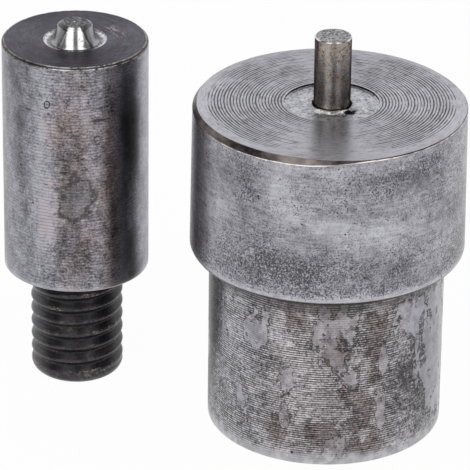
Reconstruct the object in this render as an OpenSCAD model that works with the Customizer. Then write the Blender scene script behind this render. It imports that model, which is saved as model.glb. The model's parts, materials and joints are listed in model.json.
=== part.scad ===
// Die set of an eyelet press: a lower die with a sprung pilot pin, and the upper punch standing beside it.
// The base of the lower die is on the origin, with its axis along +Z. All sizes are in millimetres.

/* [Lower die] */
// Diameter of the shank that drops into the lower arm of the press
shank_d = 20; // [16:0.5:25]
// Length of the shank, from the base to the shoulder
shank_len = 15.85; // [14:0.05:24]
// How far the head overhangs the shank all round, which makes the shoulder
shoulder_w = 1.6; // [1:0.1:5]
// Height of the head, from the shoulder to the top face
head_h = 13.2; // [11:0.1:22]
// Width of the chamfer round the top face
head_chamfer_w = 0.3; // [0.1:0.02:1]
// Height of the chamfer round the top face
head_chamfer_h = 0.36; // [0.1:0.02:1]
// Radius of the rounded lower edge of the head
head_round = 0.6; // [0.1:0.05:0.9]
// Radius of the rounded lower edge of the shank
shank_round = 0.25; // [0.1:0.05:1.5]

/* [Eyelet seat] */
// Diameter of the seat that holds the flange of the eyelet
seat_d = 8; // [5.5:0.1:12]
// Height of the wall round the seat
seat_depth = 0.2; // [0.1:0.05:1]
// How much further the floor of the seat falls towards its middle
seat_dish = 0.1; // [0.02:0.02:0.4]

/* [Pilot pin] */
// Diameter of the pin that the eyelet slips over
pin_d = 3.1; // [2:0.1:4]
// How far the pin stands above the top face
pin_proud = 6.1; // [3:0.05:9]
// Width of the chamfer round the top of the pin
pin_chamfer = 0.1; // [0.05:0.05:0.6]
// Length of the bore that guides the pin, below the middle of the seat
guide_len = 5.75; // [4:0.05:8]
// Radial clearance of the pin in its bore
pin_clearance = 0.05; // [0.01:0.01:0.1]
// Width of the broken edge at the mouth of the bore
bore_break = 0.25; // [0.05:0.05:0.4]
// Thickness of the collar that stops the pin under the roof of the chamber
collar_h = 2; // [1.2:0.1:3]
// Radial clearance of the collar in the spring chamber
collar_clearance = 0.5; // [0.1:0.05:0.8]
// Width of the chamfers on the collar
collar_chamfer = 0.2; // [0.05:0.05:0.5]

/* [Pin spring] */
// Diameter of the spring wire
wire_d = 0.7; // [0.4:0.05:0.9]
// Number of turns, with plain ends
spring_turns = 6; // [4:0.5:7]
// Radial clearance of the spring in its chamber
spring_clearance = 0.6; // [0.2:0.05:0.9]
// Gap between each end of the spring and what it bears on
spring_end_gap = 0.05; // [0.02:0.01:0.2]

/* [Retaining screw] */
// Thread diameter of the screw that closes the spring chamber
plug_d = 10; // [9:0.5:12]
// Thread pitch of that screw
plug_pitch = 1.5; // [1:0.25:1.75]
// Length of the screw
plug_len = 8; // [6:0.5:9]
// How far the screw lies inside the base
plug_recess = 0.5; // [0.2:0.1:2]
// Width of the chamfers at the ends of the screw
plug_chamfer = 0.6; // [0.2:0.1:1]
// Width across the flats of its hexagon socket
plug_socket = 5; // [3:0.5:6]
// Depth of its hexagon socket
plug_socket_depth = 4; // [2:0.5:5]
// Length of thread in the die above the screw
plug_runout = 2; // [0.5:0.5:3]
// How far the countersink at the base reaches past the thread
plug_mouth = 0.25; // [0.05:0.05:0.6]

/* [Punch] */
// Diameter of the punch body
punch_d = 12.5; // [11:0.1:18]
// Length of the punch body
punch_len = 21; // [16:0.1:32]
// Width of the chamfer round the working face
face_chamfer = 0.18; // [0.05:0.01:0.6]
// Width of the chamfer round the seating end
seating_chamfer = 0.2; // [0.05:0.05:0.6]
// Height of the nib above the working face
nib_h = 1.55; // [1.2:0.05:3]
// Diameter of the flat tip of the nib
nib_tip_d = 2.24; // [1.4:0.02:2.6]
// Width of the bevel round the tip
nib_bevel_w = 0.35; // [0.1:0.05:0.5]
// Height of the bevel round the tip
nib_bevel_h = 0.24; // [0.1:0.02:0.5]
// Diameter of the nib where it meets the curling groove
nib_root_d = 4.05; // [3.7:0.05:5]
// Radius of the half-round groove that curls the eyelet
curl_r = 0.3; // [0.15:0.05:0.6]

/* [Mounting stud] */
// Thread diameter of the stud that screws into the ram of the press
stud_d = 8; // [6:1:9]
// Thread pitch of the stud
stud_pitch = 1.25; // [0.75:0.25:1.5]
// Length of the stud below the punch body
stud_free = 10.3; // [6:0.1:20]
// Length of the stud inside the punch body
stud_engaged = 8.8; // [5:0.1:10]
// Width of the chamfer at the free end
stud_end_chamfer = 0.9; // [0.3:0.05:0.95]
// Width of the chamfer at the engaged end
stud_lead_chamfer = 0.5; // [0.2:0.05:1]
// Width across the flats of its hexagon socket
stud_socket = 4; // [2:0.5:4]
// Depth of its hexagon socket
stud_socket_depth = 4.5; // [2:0.5:6]
// How far the countersink in the punch reaches past the thread
stud_mouth = 0.1; // [0.05:0.05:0.6]
// Depth of thread in the punch beyond the stud
stud_runout = 0.8; // [0.2:0.1:1.5]
// Depth of the drilled hole beyond the thread
drill_runout = 1; // [0.5:0.1:2]
// Angle of the drill point that ends the hole
drill_angle = 118; // [90:1:140]

/* [Threads] */
// Radial clearance between engaged threads, which are drawn plain at their pitch diameter
thread_clearance = 0.03; // [0.01:0.01:0.1]

/* [Layout] */
// Gap between the head of the die and the punch beside it
stand_gap = 5; // [1:0.1:20]
// Direction from the die to the punch, from +X towards +Y
stand_angle = 160.7; // [90:0.1:270]

/* [Hidden] */
$fn = 96;

// Share of the pitch by which a metric thread's pitch diameter is less than its major diameter
pitch_line = 0.6495;
// How far a cutting profile runs past the face that it cuts
over = 1;

// Lower die
shank_r = shank_d / 2;
head_r = shank_r + shoulder_w;
die_h = shank_len + head_h;
seat_r = seat_d / 2;
pin_r = pin_d / 2;
bore_r = pin_r + pin_clearance;
mouth_r = bore_r + bore_break;
seat_low = die_h - seat_depth - seat_dish;
roof_z = seat_low - guide_len;

// Retaining screw and the chamber above it, which is drilled at the thread's tapping size
plug_r = (plug_d - pitch_line * plug_pitch) / 2;
plug_top = plug_recess + plug_len;
plug_bore_r = plug_r + thread_clearance;
plug_mouth_r = plug_d / 2 + plug_mouth;
plug_thread_top = plug_top + plug_runout;
chamber_r = (plug_d - plug_pitch) / 2;

// Pilot pin and its spring
pin_top = die_h + pin_proud;
collar_r = chamber_r - collar_clearance;
collar_low = roof_z - collar_h;
wire_r = wire_d / 2;
coil_r = chamber_r - spring_clearance - wire_r;
coil_low = plug_top + spring_end_gap + wire_r;
coil_high = collar_low - spring_end_gap - wire_r;
coil_pitch = (coil_high - coil_low) / spring_turns;
turn_rings = 8;
wire_sides = 6;
coil_rings = spring_turns * turn_rings;

// Punch and stud
punch_r = punch_d / 2;
punch_low = stud_free;
punch_high = punch_low + punch_len;
nib_top = punch_high + nib_h;
nib_tip_r = nib_tip_d / 2;
nib_root_r = nib_root_d / 2;
stud_r = stud_d / 2;
stud_engaged_r = (stud_d - pitch_line * stud_pitch) / 2;
stud_top = stud_free + stud_engaged;
stud_bore_r = stud_engaged_r + thread_clearance;
stud_mouth_r = stud_r + stud_mouth;
stud_thread_top = stud_top + stud_runout;
drill_r = (stud_d - stud_pitch) / 2;
drill_top = stud_thread_top + drill_runout;
drill_point = drill_r / tan(drill_angle / 2);
stand_distance = head_r + stand_gap + punch_r;
stand_x = stand_distance * cos(stand_angle);
stand_y = stand_distance * sin(stand_angle);

// Height of the seat's sloping floor at a radius
function seat_floor(r) = seat_low + seat_dish * r / seat_r;

// Spring wire: the point on its centre line at a ring, the two directions across it, and a point on its skin
function coil_angle(ring) = 360 * ring / turn_rings;
function coil_point(ring) = [
    coil_r * cos(coil_angle(ring)),
    coil_r * sin(coil_angle(ring)),
    coil_low + coil_pitch * ring / turn_rings
];
function coil_out(ring) = [cos(coil_angle(ring)), sin(coil_angle(ring)), 0];
function coil_along(ring) = [
    -2 * PI * coil_r * sin(coil_angle(ring)),
    2 * PI * coil_r * cos(coil_angle(ring)),
    coil_pitch
];
function coil_up(ring) = cross(coil_out(ring), coil_along(ring)) / norm(coil_along(ring));
function wire_point(ring, side) =
    let (turn = 360 * side / wire_sides)
    coil_point(ring) + wire_r * (cos(turn) * coil_out(ring) + sin(turn) * coil_up(ring));

// Least gap of the spring to itself, between points half a turn or more apart along the wire
coil_least_gap = min([
    for (a = [0 : coil_rings], b = [a + turn_rings / 2 : coil_rings])
        norm(coil_point(b) - coil_point(a)) - wire_d
]);
echo(spring_least_gap = coil_least_gap);

// Room for the pin to go down before the turns of the spring meet
pin_room = collar_low - plug_top - (spring_turns + 1) * wire_d;
echo(pin_room = pin_room);

// Half profile of the outside of the lower die
module die_outline() {
    polygon([
        [0, 0],
        [shank_r - shank_round, 0],
        [shank_r, shank_round],
        [shank_r, shank_len],
        [head_r - head_round, shank_len],
        [head_r, shank_len + head_round],
        [head_r, die_h - head_chamfer_h],
        [head_r - head_chamfer_w, die_h],
        [0, die_h]
    ]);
    translate([shank_r - shank_round, shank_round]) circle(r = shank_round);
    translate([head_r - head_round, shank_len + head_round]) circle(r = head_round);
}

// Half profile of the hole through the die: thread, spring chamber, guide bore, broken edge and seat
module die_hole() {
    polygon([
        [0, -over],
        [plug_mouth_r + over, -over],
        [plug_bore_r, plug_mouth_r - plug_bore_r],
        [plug_bore_r, plug_thread_top],
        [chamber_r, plug_thread_top],
        [chamber_r, roof_z],
        [bore_r, roof_z],
        [bore_r, seat_floor(mouth_r) - bore_break],
        [mouth_r, seat_floor(mouth_r)],
        [seat_r, die_h - seat_depth],
        [seat_r, die_h + over],
        [0, die_h + over]
    ]);
}

// Lower die, turned from one bar
module die_body() {
    color("darkgray")
        rotate_extrude() difference() {
            die_outline();
            die_hole();
        }
}

// Pilot pin with the collar that its spring pushes against the roof of the chamber
module pilot_pin() {
    color("gray")
        rotate_extrude() polygon([
            [0, collar_low],
            [collar_r - collar_chamfer, collar_low],
            [collar_r, collar_low + collar_chamfer],
            [collar_r, roof_z - collar_chamfer],
            [collar_r - collar_chamfer, roof_z],
            [pin_r, roof_z],
            [pin_r, pin_top - pin_chamfer],
            [pin_r - pin_chamfer, pin_top],
            [0, pin_top]
        ]);
}

// Compression spring, one unbroken tube along a helix
module pin_spring() {
    points = [for (ring = [0 : coil_rings], side = [0 : wire_sides - 1]) wire_point(ring, side)];
    last = coil_rings * wire_sides;
    skin = [
        for (ring = [0 : coil_rings - 1], side = [0 : wire_sides - 1])
            let (
                a = ring * wire_sides + side,
                b = ring * wire_sides + (side + 1) % wire_sides
            )
            each [[a, b, b + wire_sides], [a, b + wire_sides, a + wire_sides]]
    ];
    ends = [
        for (side = [1 : wire_sides - 2])
            each [[0, side + 1, side], [last, last + side, last + side + 1]]
    ];
    color("lightsteelblue") polyhedron(points = points, faces = concat(skin, ends));
}

// Hexagon socket that opens downwards at a height
module socket(width, low, depth) {
    translate([0, 0, low - over]) cylinder(d = width / cos(30), h = depth + over, $fn = 6);
}

// Grub screw that closes the spring chamber
module retaining_screw() {
    color("dimgray") difference() {
        rotate_extrude() polygon([
            [0, plug_recess],
            [plug_r - plug_chamfer, plug_recess],
            [plug_r, plug_recess + plug_chamfer],
            [plug_r, plug_top - plug_chamfer],
            [plug_r - plug_chamfer, plug_top],
            [0, plug_top]
        ]);
        socket(plug_socket, plug_recess, plug_socket_depth);
    }
}

// Half profile of the outside of the punch body, with the nib in the middle of its working face
module punch_outline() {
    difference() {
        polygon([
            [0, punch_low],
            [punch_r - seating_chamfer, punch_low],
            [punch_r, punch_low + seating_chamfer],
            [punch_r, punch_high - face_chamfer],
            [punch_r - face_chamfer, punch_high],
            [nib_root_r, punch_high],
            [nib_tip_r + nib_bevel_w, nib_top - nib_bevel_h],
            [nib_tip_r, nib_top],
            [0, nib_top]
        ]);
        translate([nib_root_r + curl_r, punch_high]) circle(r = curl_r);
    }
}

// Half profile of the tapped hole for the stud, ending in a drill point
module punch_hole() {
    polygon([
        [0, punch_low - over],
        [stud_mouth_r + over, punch_low - over],
        [stud_bore_r, punch_low + stud_mouth_r - stud_bore_r],
        [stud_bore_r, stud_thread_top],
        [drill_r, stud_thread_top],
        [drill_r, drill_top],
        [0, drill_top + drill_point]
    ]);
}

// Upper punch, turned from one bar
module punch_body() {
    color("slategray") translate([stand_x, stand_y, 0])
        rotate_extrude() difference() {
            punch_outline();
            punch_hole();
        }
}

// Set screw in the punch: its free length is drawn at the major diameter, its engaged length at the pitch diameter
module mounting_stud() {
    color("#2b2b2e") translate([stand_x, stand_y, 0]) difference() {
        rotate_extrude() polygon([
            [0, 0],
            [stud_r - stud_end_chamfer, 0],
            [stud_r, stud_end_chamfer],
            [stud_r, stud_free],
            [stud_engaged_r, stud_free],
            [stud_engaged_r, stud_top - stud_lead_chamfer],
            [stud_engaged_r - stud_lead_chamfer, stud_top],
            [0, stud_top]
        ]);
        socket(stud_socket, 0, stud_socket_depth);
    }
}

die_body();
pilot_pin();
pin_spring();
retaining_screw();
punch_body();
mounting_stud();
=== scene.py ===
import json
import math
from functools import partial

import bmesh
import bpy
import numpy as np
from mathutils import Matrix, Vector, noise


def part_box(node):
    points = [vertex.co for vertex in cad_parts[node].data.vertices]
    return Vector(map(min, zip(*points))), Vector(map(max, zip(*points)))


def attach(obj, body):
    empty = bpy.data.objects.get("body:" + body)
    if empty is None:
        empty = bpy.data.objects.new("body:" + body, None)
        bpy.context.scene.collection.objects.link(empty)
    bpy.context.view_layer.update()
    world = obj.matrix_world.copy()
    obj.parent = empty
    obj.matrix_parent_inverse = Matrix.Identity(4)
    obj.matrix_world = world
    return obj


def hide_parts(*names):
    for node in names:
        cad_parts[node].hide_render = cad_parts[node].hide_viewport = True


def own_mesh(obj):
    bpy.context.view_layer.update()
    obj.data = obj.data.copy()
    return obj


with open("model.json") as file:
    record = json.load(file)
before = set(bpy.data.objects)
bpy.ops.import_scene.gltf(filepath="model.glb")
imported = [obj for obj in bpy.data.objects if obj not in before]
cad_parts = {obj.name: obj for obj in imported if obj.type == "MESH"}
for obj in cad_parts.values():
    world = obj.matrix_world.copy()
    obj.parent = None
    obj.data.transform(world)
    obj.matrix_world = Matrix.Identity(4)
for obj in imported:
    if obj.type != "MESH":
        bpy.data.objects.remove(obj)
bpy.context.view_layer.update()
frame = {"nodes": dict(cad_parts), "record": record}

mm = 0.001
fullTurn = 2 * math.pi
scene = bpy.context.scene
mounts = {m["name"]: m for m in frame["record"]["mounts"]}
print("frame loaded:", ", ".join(sorted(frame["nodes"])))


def nodeBox(name):
    low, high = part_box(name)
    return [v / mm for v in low], [v / mm for v in high]


# Profiles: lists of (radius, height, groove depth share) in mm, each run without its first point

def straight(a, b, steps=1):
    shares = [i / steps for i in range(1, steps + 1)]
    return [(a[0] + (b[0] - a[0]) * s, a[1] + (b[1] - a[1]) * s, 0.0) for s in shares]


def rounded(centre, radius, start, stop, steps=6):
    angles = [math.radians(start + (stop - start) * i / steps) for i in range(1, steps + 1)]
    return [(centre[0] + radius * math.cos(a), centre[1] + radius * math.sin(a), 0.0) for a in angles]


def toolMarks(a, b, pitch, width=0.27):
    # one narrow groove in each pitch, with flat land between
    count = max(1, round(math.dist(a, b) / pitch))
    rows = []
    for k in range(count):
        for share, depth in ((0.5 - width, 0.0), (0.5, 1.0), (0.5 + width, 0.0)):
            s = (k + share) / count
            rows.append((a[0] + (b[0] - a[0]) * s, a[1] + (b[1] - a[1]) * s, depth))
    return rows + [(b[0], b[1], 0.0)]


def runs(start, stops):
    # stretches end to end: (zone, finish number, share of the map, end point or ready rows, steps)
    stretches, here = [], start
    for zone, finish, mapShare, end, *steps in stops:
        rows = end if isinstance(end, list) else straight(here, end, *steps)
        if not stretches:
            rows = [(*start, 0.0)] + rows
        stretches.append((zone, finish, mapShare, rows))
        here = rows[-1][:2]
    return stretches


def randomField(x, y, z, size, octaves=3, shift=0.0):
    # smooth random field over a surface, about -1 to 1, with features of this size in mm
    across, tall = size
    spots = np.stack([x / across, y / across, z / tall], -1).reshape(-1, 3) + shift
    values = [noise.fractal(p, 0.9, 2.1, octaves) for p in spots]
    return np.array(values).reshape(x.shape)


def smoothStep(value, low, high):
    t = np.clip((value - low) / (high - low), 0, 1)
    return t * t * (3 - 2 * t)


def angleGap(a, b):
    # signed difference of two angles in degrees, -180 to 180
    return (np.asarray(a) - b + 180) % 360 - 180


def facing(turn, middle, half, soft):
    # 1 where a surface faces the angle `middle`, 0 from `half` degrees away, over a soft edge
    return smoothStep(half - np.abs(angleGap(turn, middle)), 0, soft)


def bell(value, middle, width):
    return np.exp(-(((value - middle) / width) ** 2))


def surface(zones, r, theta):
    # the rows of each zone, the degrees from +X, and the coordinates over the floor
    at = {name: np.nonzero(zones == name)[0] for name in np.unique(zones)}
    turn = np.degrees(theta)[None, :] + np.zeros_like(r)
    return at, turn, r * np.cos(theta), r * np.sin(theta)


def markField(turn, z, marks):
    # 1 in the middle of a mark and 0 at its edge
    # marks: degrees from +X, height, half width in degrees, half height
    field = np.full(z.shape, -1.0)
    for markTurn, markZ, halfTurn, halfZ in marks:
        far = np.hypot(angleGap(turn, markTurn) / halfTurn, (z - markZ) / halfZ)
        field = np.maximum(field, 1 - far)
    return field


def spotTone(turn, z, spots):
    # light (+) and dull (-) spots: degrees from +X, height, half width in degrees, half height, strength
    tone = np.zeros(z.shape)
    for spotTurn, spotZ, halfTurn, halfZ, strength in spots:
        aside = angleGap(turn, spotTurn) / halfTurn
        tone += strength * np.exp(-(aside ** 2) - ((z - spotZ) / halfZ) ** 2)
    return tone


def makeMesh(name, verts, faces, fields):
    mesh = bpy.data.meshes.new(name)
    mesh.from_pydata(verts, [], faces)
    for field, values in fields.items():
        layer = mesh.attributes.new(field, "FLOAT", "POINT")
        layer.data.foreach_set("value", np.asarray(values, np.float32))
    return mesh


def cleanMesh(mesh, weld=0.0):
    # normals outward; points closer than weld, in mm, become one
    work = bmesh.new()
    work.from_mesh(mesh)
    if weld:
        bmesh.ops.remove_doubles(work, verts=work.verts, dist=weld * mm)
        bmesh.ops.dissolve_degenerate(work, edges=work.edges, dist=weld / 2 * mm)
    bmesh.ops.recalc_face_normals(work, faces=work.faces)
    work.to_mesh(mesh)
    work.free()
    return mesh


def latheMesh(name, stretches, columns, shape, closed):
    # stretches come from runs(); shape bends their rows and gives surface fields
    rows, zones, finishes, spread = [], [], [], []
    for zone, finish, mapShare, points in stretches:
        rows += points
        zones += [zone] * len(points)
        finishes += [finish] * len(points)
        spread += [mapShare] * len(points)
    zones = np.array(zones)
    count = len(rows)
    theta = np.arange(columns) * fullTurn / columns
    r, z, groove = (np.repeat(np.array(values)[:, None], columns, 1) for values in zip(*rows))
    poles = [p[0] == 0 for p in rows]
    fields = shape(zones, r, z, groove, theta)
    shift = fields.pop("shift", np.zeros((count, 2)))  # for rows that lie off centre
    # how far along the section each row lies, for the map
    lengths = [max(1e-4, math.dist(rows[i][:2], rows[i - 1][:2])) * spread[i] for i in range(count)]
    along = np.cumsum([0.0] + lengths[1:])
    along = along / (along[-1] + (lengths[0] if closed else 0.0))
    verts, index, picked = [], np.zeros((count, columns), int), []
    for i in range(count):
        for j in range(columns):
            if poles[i] and j:
                index[i, j] = index[i, 0]
                continue
            index[i, j] = len(verts)
            picked.append((i, j))
            x = r[i, j] * math.cos(theta[j]) + shift[i, 0]
            y = r[i, j] * math.sin(theta[j]) + shift[i, 1]
            verts.append((x * mm, y * mm, z[i, j] * mm))
    faces, faceFinish, corners = [], [], []
    for i in range(count if closed else count - 1):
        up = (i + 1) % count
        v0, v1 = along[i], along[up] if up else 1.0
        for j in range(columns):
            k = (j + 1) % columns
            u0, u1 = j / columns, (j + 1) / columns
            if poles[i]:
                faces.append((index[i, 0], index[up, k], index[up, j]))
                corners += [((u0 + u1) / 2, v0), (u1, v1), (u0, v1)]
            elif poles[up]:
                faces.append((index[i, j], index[i, k], index[up, 0]))
                corners += [(u0, v0), (u1, v0), ((u0 + u1) / 2, v1)]
            else:
                faces.append((index[i, j], index[i, k], index[up, k], index[up, j]))
                corners += [(u0, v0), (u1, v0), (u1, v1), (u0, v1)]
            faceFinish.append(finishes[up])
    keep = np.array(picked)
    fields = {field: values[keep[:, 0], keep[:, 1]] for field, values in fields.items()}
    mesh = makeMesh(name, verts, [tuple(int(v) for v in f) for f in faces], fields)
    mesh.polygons.foreach_set("material_index", faceFinish)
    map2d = mesh.uv_layers.new(name="OFBake")  # the map round the axis and along the section
    map2d.uv.foreach_set("vector", np.array(corners, np.float32).ravel())
    return mesh


def addPiece(mesh, place, finishes, sharpAngle, body, node):
    # place is the axis of the turned piece on the floor, in mm
    mesh.shade_smooth()
    mesh.set_sharp_from_angle(angle=math.radians(sharpAngle))
    for finish in finishes:
        mesh.materials.append(finish)
    piece = bpy.data.objects.new(mesh.name, mesh)
    scene.collection.objects.link(piece)
    piece.location = (place[0] * mm, place[1] * mm, 0)
    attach(piece, body)
    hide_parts(node)
    triangles = sum(len(p.vertices) - 2 for p in mesh.polygons)
    print(f"{mesh.name}: {len(mesh.vertices)} points, {triangles} triangles, on {body}")
    return piece


# Shader helpers: each returns an output socket, and takes sockets or plain numbers

class Nodes:
    def __init__(self, tree):
        self.tree = tree

    def add(self, kind):
        return self.tree.nodes.new(kind)

    def wire(self, value, socket):
        if isinstance(value, bpy.types.NodeSocket):
            self.tree.links.new(value, socket)
        else:
            socket.default_value = value

    def math(self, operation, a, b=0.0, c=0.0, clamp=False):
        node = self.add("ShaderNodeMath")
        node.operation, node.use_clamp = operation, clamp
        for value, socket in zip((a, b, c), node.inputs):
            self.wire(value, socket)
        return node.outputs[0]

    def times(self, a, b, clamp=False):
        return self.math("MULTIPLY", a, b, clamp=clamp)

    def plus(self, a, b):
        return self.math("ADD", a, b)

    def most(self, a, b):
        return self.math("MAXIMUM", a, b)

    def vector(self, operation, a, b=(0, 0, 0)):
        node = self.add("ShaderNodeVectorMath")
        node.operation = operation
        self.wire(a, node.inputs[0])
        self.wire(b, node.inputs[1])
        return node.outputs["Value" if operation == "LENGTH" else "Vector"]

    def parts(self, vector):
        node = self.add("ShaderNodeSeparateXYZ")
        self.wire(vector, node.inputs[0])
        return node.outputs

    def step(self, value, low, high, outLow=0.0, outHigh=1.0):
        # smooth step from outLow at low to outHigh at high; low may be the larger
        if low > high:
            low, high, outLow, outHigh = high, low, outHigh, outLow
        node = self.add("ShaderNodeMapRange")
        node.interpolation_type = "SMOOTHSTEP"
        for socket, number in zip(node.inputs[1:5], (low, high, outLow, outHigh)):
            socket.default_value = number
        self.wire(value, node.inputs[0])
        return node.outputs[0]

    def band(self, value, low, high, edge):
        # 1 between low and high, with soft edges
        rising = self.step(value, low - edge, low + edge)
        return self.times(rising, self.step(value, high + edge, high - edge))


class Steel(Nodes):
    # bare metal with its sheen drawn out across the tool marks, and coordinates in mm
    def __init__(self, name, grainPull, edgeTint=1.0):
        self.finish = bpy.data.materials.new(name)
        self.finish.use_nodes = True
        super().__init__(self.finish.node_tree)
        self.shader = self.tree.nodes["Principled BSDF"]
        sockets = self.shader.inputs
        sockets["Metallic"].default_value = 1.0
        sockets["Specular Tint"].default_value = (edgeTint, edgeTint, edgeTint, 1)  # at a grazing look
        if grainPull:
            sockets["Anisotropic"].default_value = grainPull
            sockets["Anisotropic Rotation"].default_value = 0.25
            tangent = self.add("ShaderNodeTangent")
            tangent.direction_type, tangent.axis = "RADIAL", "Z"
            self.wire(tangent.outputs[0], sockets["Tangent"])
        place = self.add("ShaderNodeTexCoord").outputs["Object"]
        self.at = self.vector("MULTIPLY", place, (1 / mm, 1 / mm, 1 / mm))
        flat = self.vector("MULTIPLY", self.at, (1, 1, 0))
        self.around = self.vector("NORMALIZE", flat)
        self.radius = self.vector("LENGTH", flat)
        self.height = self.parts(self.at)["Z"]

    def field(self, name):
        node = self.add("ShaderNodeAttribute")
        node.attribute_name = name
        return node.outputs["Fac"]

    def noise(self, scale, detail, rough=0.5, at=None):
        node = self.add("ShaderNodeTexNoise")
        self.wire(self.at if at is None else at, node.inputs["Vector"])
        for socket, value in (("Scale", scale), ("Detail", detail), ("Roughness", rough)):
            node.inputs[socket].default_value = value
        return node.outputs["Fac"]

    def ringNoise(self, along, across, detail, rough=0.5):
        # drawn out round the axis: `along` cells per radian, `across` cells per mm over the tool marks
        join = self.add("ShaderNodeCombineXYZ")
        self.wire(self.times(self.plus(self.radius, self.height), across), join.inputs[2])
        drawn = self.vector("MULTIPLY", self.around, (along, along, 0))
        return self.noise(1.0, detail, rough, self.vector("ADD", drawn, join.outputs[0]))

    def spots(self, scale, size, chance):
        # sparse round spots: 1 inside a spot of this share of the cell, on this share of the cells
        node = self.add("ShaderNodeTexVoronoi")
        self.wire(self.at, node.inputs["Vector"])
        node.inputs["Scale"].default_value = scale
        split = self.add("ShaderNodeSeparateColor")
        self.wire(node.outputs["Color"], split.inputs[0])
        chosen = self.step(split.outputs[0], 1 - chance, 1 - chance + 0.02)
        return self.times(chosen, self.step(node.outputs["Distance"], size, size * 0.45))

    def turnedLines(self, pitch, wander, thin):
        # fine lines left by the turning tool, 1 on a line; they wander a little and fade in places
        shift = self.times(self.ringNoise(4.0, 0.5, 1), wander)
        turns = self.math("MULTIPLY_ADD", self.plus(self.height, self.radius), 1 / pitch, shift)
        line = self.step(self.math("PINGPONG", turns, 0.5), thin, 0.03)
        return self.times(line, self.step(self.ringNoise(6.0, 2.0, 2, 0.6), 0.26, 0.46))

    def blend(self, start, *terms):
        # start plus each field, taken about its middle of 0.5, times its weight
        tone = start
        for field, weight in terms:
            tone = self.math("MULTIPLY_ADD", field, weight, self.plus(tone, -0.5 * weight))
        return tone

    def tint(self, share, a, b, way="MIX"):
        node = self.add("ShaderNodeMix")
        node.data_type, node.blend_type = "RGBA", way
        self.wire(share, node.inputs[0])
        for value, socket in ((a, node.inputs[6]), (b, node.inputs[7])):
            self.wire(value if isinstance(value, bpy.types.NodeSocket) else (*value, 1.0), socket)
        return node.outputs[2]

    def coat(self, share, colour, amount=1.0, way="MIX"):
        # lays a colour over what is there
        share = share if amount == 1 else self.times(share, amount)
        self.colour = self.tint(share, self.colour, colour, way)

    def bump(self, height, depth, under=None):
        node = self.add("ShaderNodeBump")
        node.inputs["Strength"].default_value = 1.0
        node.inputs["Distance"].default_value = depth * mm
        self.wire(height, node.inputs["Height"])
        if under is not None:
            self.wire(under, node.inputs["Normal"])
        return node.outputs["Normal"]

    def done(self, roughness, normal=None):
        self.wire(self.colour, self.shader.inputs["Base Color"])
        self.wire(roughness, self.shader.inputs["Roughness"])
        if normal is not None:
            self.wire(normal, self.shader.inputs["Normal"])
        return self.finish

    def doneByGrain(self, grain, rough, smooth, depth):
        # roughness and relief both follow the grain
        return self.done(self.step(grain, 0.3, 0.7, rough, smooth), self.bump(grain, depth))


def grainySteel(name, scale, detailRough, edges, dark, light, sheen, depth):
    f = Steel(name, 0.0)
    grain = f.noise(scale, 3, detailRough)
    f.colour = f.tint(f.step(grain, *edges), dark, light)
    return f.doneByGrain(grain, *sheen, depth)


# Lower die: one turned bar, with the shank below and the head above

dieHigh = nodeBox("die_body")[1]
pinLow, pinHigh = nodeBox("pilot_pin")
seatMount = mounts["eyelet_seat"]["dims"]
collarH = 2.0
die = {
    "shankR": mounts["die_shank"]["dims"]["r_mm"],
    "shoulderZ": mounts["die_shoulder"]["pos_m"][2] / mm,
    "headR": dieHigh[0],
    "topZ": dieHigh[2],
    "shankRound": 0.25,
    "headRound": 0.6,
    "headTaper": 0.15,  # the head is this much slimmer at the top
    "offCentre": np.array((0.15, 0.28)),  # face, seat and bore against the outside
    "chamferW": 0.38,  # at the front left
    "chamferBack": 0.25,
    "chamferLeast": 0.05,  # at the front right
    "chamferNarrow": (254, 289),  # degrees from +X between which it dies away
    "chamferWiden": (350, 400),  # and between which it comes back
    "chamferSlope": 1.19,  # height for its width
    "edgeSoft": 0.12,  # worn edge under the chamfer
    "seatR": seatMount["r_mm"],
    "seatDepth": seatMount["length_mm"],
    "seatDish": 0.02,
    "seatEdge": 0.12,  # plain edge round the seat, and the slope at its foot
    "seatDraft": 0.02,
    "mouthRise": 0.1,  # metal pushed up round the bore
    "wallDark": 0.8,  # share of the seat's wall, from its top, that gets the painted shade
    "mouthR": 1.7,
    "boreR": 1.6,
    "roofZ": pinLow[2] + collarH,
    "chamberR": 4.25,
    "threadTopZ": 10.5,
    "threadR": 5.03,  # clear of the crests of the retaining screw
    "threadLowZ": 0.22,
    "baseMouthR": 5.25,
    "linePitch": 0.21,  # tool marks on the shank
    "ringPitch": 0.27,  # tool marks on the top face
    "ringDepth": 0.012,
    "ringOuterR": 10.75,
    "notchR": 2.22,
    "notchTurn": 314,
    "columns": 320,
    "sharpAngle": 56,  # edges over this many degrees stay sharp
}
# light and dull places on the head: degrees from +X, height, half width in degrees, half height, strength
headSpots = [
    (248, 26.0, 6, 2.2, 0.3), (255, 24.3, 7, 1.4, 0.22), (268, 23.2, 12, 0.8, 0.3),
    (281, 22.4, 11, 0.8, 0.2), (296, 22.0, 13, 1.1, 0.24), (260, 28.2, 24, 0.5, 0.3),
    (233, 24.6, 9, 2.6, -0.2), (287, 27.2, 9, 0.8, -0.16), (305, 26.9, 12, 1.0, -0.35),
    (250, 19.2, 22, 1.4, -0.16), (318, 19.0, 14, 2.2, 0.1), (352, 22.0, 14, 8, -0.15),
    (214, 23.0, 6, 5, 0.15), (60, 22.0, 25, 2.0, 0.4), (120, 25.0, 20, 1.6, 0.4),
    (150, 20.0, 20, 2.0, -0.3), (30, 26.0, 20, 1.5, -0.4), (90, 19.0, 20, 1.5, -0.3),
    (10, 20.0, 14, 2.0, 0.3), (185, 26.0, 12, 2.0, 0.25), (238, 18.6, 22, 1.5, -0.15),
]
shankSpots = [
    (335, 8.0, 24, 9, -0.36), (255, 11.0, 10, 3, 0.15), (191, 10.0, 11, 9, -0.55),
    (312, 7.4, 7, 2, -0.25),
]
# the same on the top face, with the radius in place of the height
faceSpots = [(240, 8.0, 26, 2.8, 0.4), (275, 7.0, 14, 3, 0.02), (120, 8.0, 30, 2, 0.1)]
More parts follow.
